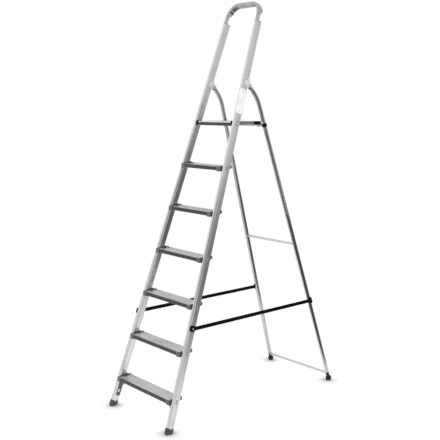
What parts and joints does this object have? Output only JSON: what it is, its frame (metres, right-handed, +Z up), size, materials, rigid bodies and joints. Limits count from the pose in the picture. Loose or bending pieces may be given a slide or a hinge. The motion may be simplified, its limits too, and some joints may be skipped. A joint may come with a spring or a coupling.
{
  "type": "stepladder",
  "caption": "Folding aluminium platform stepladder with ribbed treads between tapering stiles, a grip bow above the platform, a round-tube rear frame and webbing stay straps.",
  "frame": {"origin": "on the floor in the middle of the four feet", "axes": "+X to the climber's right, +Y from the treads to the rear legs, +Z up"},
  "size_m": [0.5228, 1.211, 2.1329],
  "materials": {
    "stile": "satin mill finish, drawn lengthwise",
    "tread": "satin extrusion with ribs",
    "deck": "satin with grooves",
    "leg": "satin drawn tube",
    "bar": "satin rod",
    "rivet": "bright",
    "steel": "zinc plated",
    "saddle": "pressed sheet, satin",
    "nosing": "fine grain",
    "bracket": "fine moulded grain",
    "bow": "fine moulded grain",
    "knuckle": "fine moulded grain",
    "foot": "matt",
    "strap": "woven webbing"
  },
  "bodies": {
    "front_frame": {"stile_left": "stile", "stile_right": "stile", "tread_1": "tread", "tread_nosing_1": "nosing", "tread_bracket_1_left": "bracket", "tread_bracket_1_right": "bracket", "tread_2": "tread", "tread_nosing_2": "nosing", "tread_bracket_2_left": "bracket", "tread_bracket_2_right": "bracket", "tread_3": "tread", "tread_nosing_3": "nosing", "tread_bracket_3_left": "bracket", "tread_bracket_3_right": "bracket", "tread_4": "tread", "tread_nosing_4": "nosing", "tread_bracket_4_left": "bracket", "tread_bracket_4_right": "bracket", "tread_5": "tread", "tread_nosing_5": "nosing", "tread_bracket_5_left": "bracket", "tread_bracket_5_right": "bracket", "tread_6": "tread", "tread_nosing_6": "nosing", "tread_bracket_6_left": "bracket", "tread_bracket_6_right": "bracket", "tread_rivets": "rivet", "grip_bow": "bow", "bow_screws": "steel", "front_foot_left": "foot", "front_foot_right": "foot", "pivot_bracket_left": "saddle", "pivot_bracket_right": "saddle", "bracket_rivets": "rivet", "pivot_bolts": "steel", "pivot_nuts": "steel", "hinge_plate_left": "knuckle", "hinge_plate_right": "knuckle", "platform_pins": "steel", "strap_anchor_left": "knuckle", "strap_anchor_right": "knuckle", "strap_rivets": "rivet", "strap_left": "strap", "strap_right": "strap"},
    "rear_frame": {"rear_leg_left": "leg", "rear_leg_right": "leg", "leg_knuckle_left": "bracket", "leg_knuckle_right": "bracket", "rest_bar": "bar", "rest_bar_collars": "knuckle", "upper_crossbar": "bar", "lower_crossbar": "bar", "rear_foot_left": "foot", "rear_foot_right": "foot", "strap_clip_left": "knuckle", "strap_clip_right": "knuckle"},
    "platform": {"platform_deck": "deck", "platform_nosing": "nosing", "platform_hook_left": "knuckle", "platform_hook_right": "knuckle"}
  },
  "joints": [
    {"name": "rear_fold", "type": "hinge", "parent": "front_frame", "child": "rear_frame", "pos_m": [0, 0.03094, 1.69], "axis": [-1, 0, 0], "range_deg": [0, 36], "deforming": ["strap_left", "strap_right"]},
    {"name": "platform_lift", "type": "hinge", "parent": "front_frame", "child": "platform", "pos_m": [0, -0.06879, 1.499], "axis": [1, 0, 0], "range_deg": [0, 71]}
  ],
  "couplings": [
    {"joint": "platform_lift", "follows": "rear_fold", "ratio": 1.972}
  ]
}
